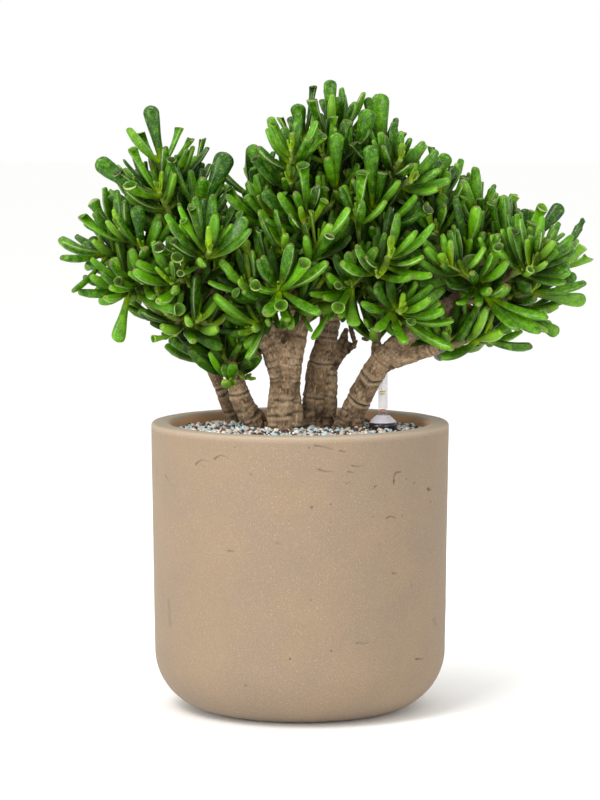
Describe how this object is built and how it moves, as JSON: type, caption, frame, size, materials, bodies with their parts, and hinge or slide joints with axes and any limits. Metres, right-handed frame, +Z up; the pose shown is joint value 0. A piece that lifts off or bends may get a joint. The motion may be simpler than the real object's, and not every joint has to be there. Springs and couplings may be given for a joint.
{
  "type": "potted horntree jade plant",
  "caption": "Bushy succulent with woody stems and fleshy, cup-tipped, horn-shaped leaves, grown in a round-footed cement planter with a water gauge.",
  "frame": {"origin": "centre of the planter's flat foot, on the surface it stands on", "axes": "+Z up along the planter's axis, -Y towards the picture's viewer, +X to the viewer's right"},
  "size_m": [0.5375, 0.3005, 0.6301],
  "materials": {
    "cement": "sandy matt cement with fine grain, small pits and short curved dents",
    "granules": "loose white, pale blue and dark purplish brown granules",
    "bark": "dry beige-brown bark with dark ring scars and fine wrinkles",
    "leaf": "waxy green skin, yellow-green towards the growing tips, with pinkish brown cups at the ends",
    "gauge_dark": "dark purple-black moulded plastic",
    "gauge_clear": "clear, slightly frosted plastic",
    "gauge_white": "white plastic rod and float",
    "gauge_red": "red plastic with a yellow top"
  },
  "bodies": {
    "root": {"pot": "cement", "substrate": "granules", "stem_front": "bark", "stem_middle": "bark", "stem_right": "bark", "stem_left": "bark", "stem_far_left": "bark", "crown_left_outer": "leaf", "crown_left_upper": "leaf", "crown_left_inner": "leaf", "crown_left_low": "leaf", "crown_low_left": "leaf", "crown_low_back": "leaf", "crown_centre_left": "leaf", "crown_centre_top": "leaf", "crown_front": "leaf", "crown_front_right": "leaf", "crown_middle_right": "leaf", "crown_fork_right": "leaf", "crown_right_upper": "leaf", "crown_right_outer": "leaf", "crown_right_low": "leaf", "crown_back_left": "leaf", "crown_back": "leaf", "crown_back_right": "leaf", "gauge_collar": "gauge_dark", "gauge_tube": "gauge_clear", "gauge_float": "gauge_white", "gauge_pointer": "gauge_red"}
  },
  "joints": []
}
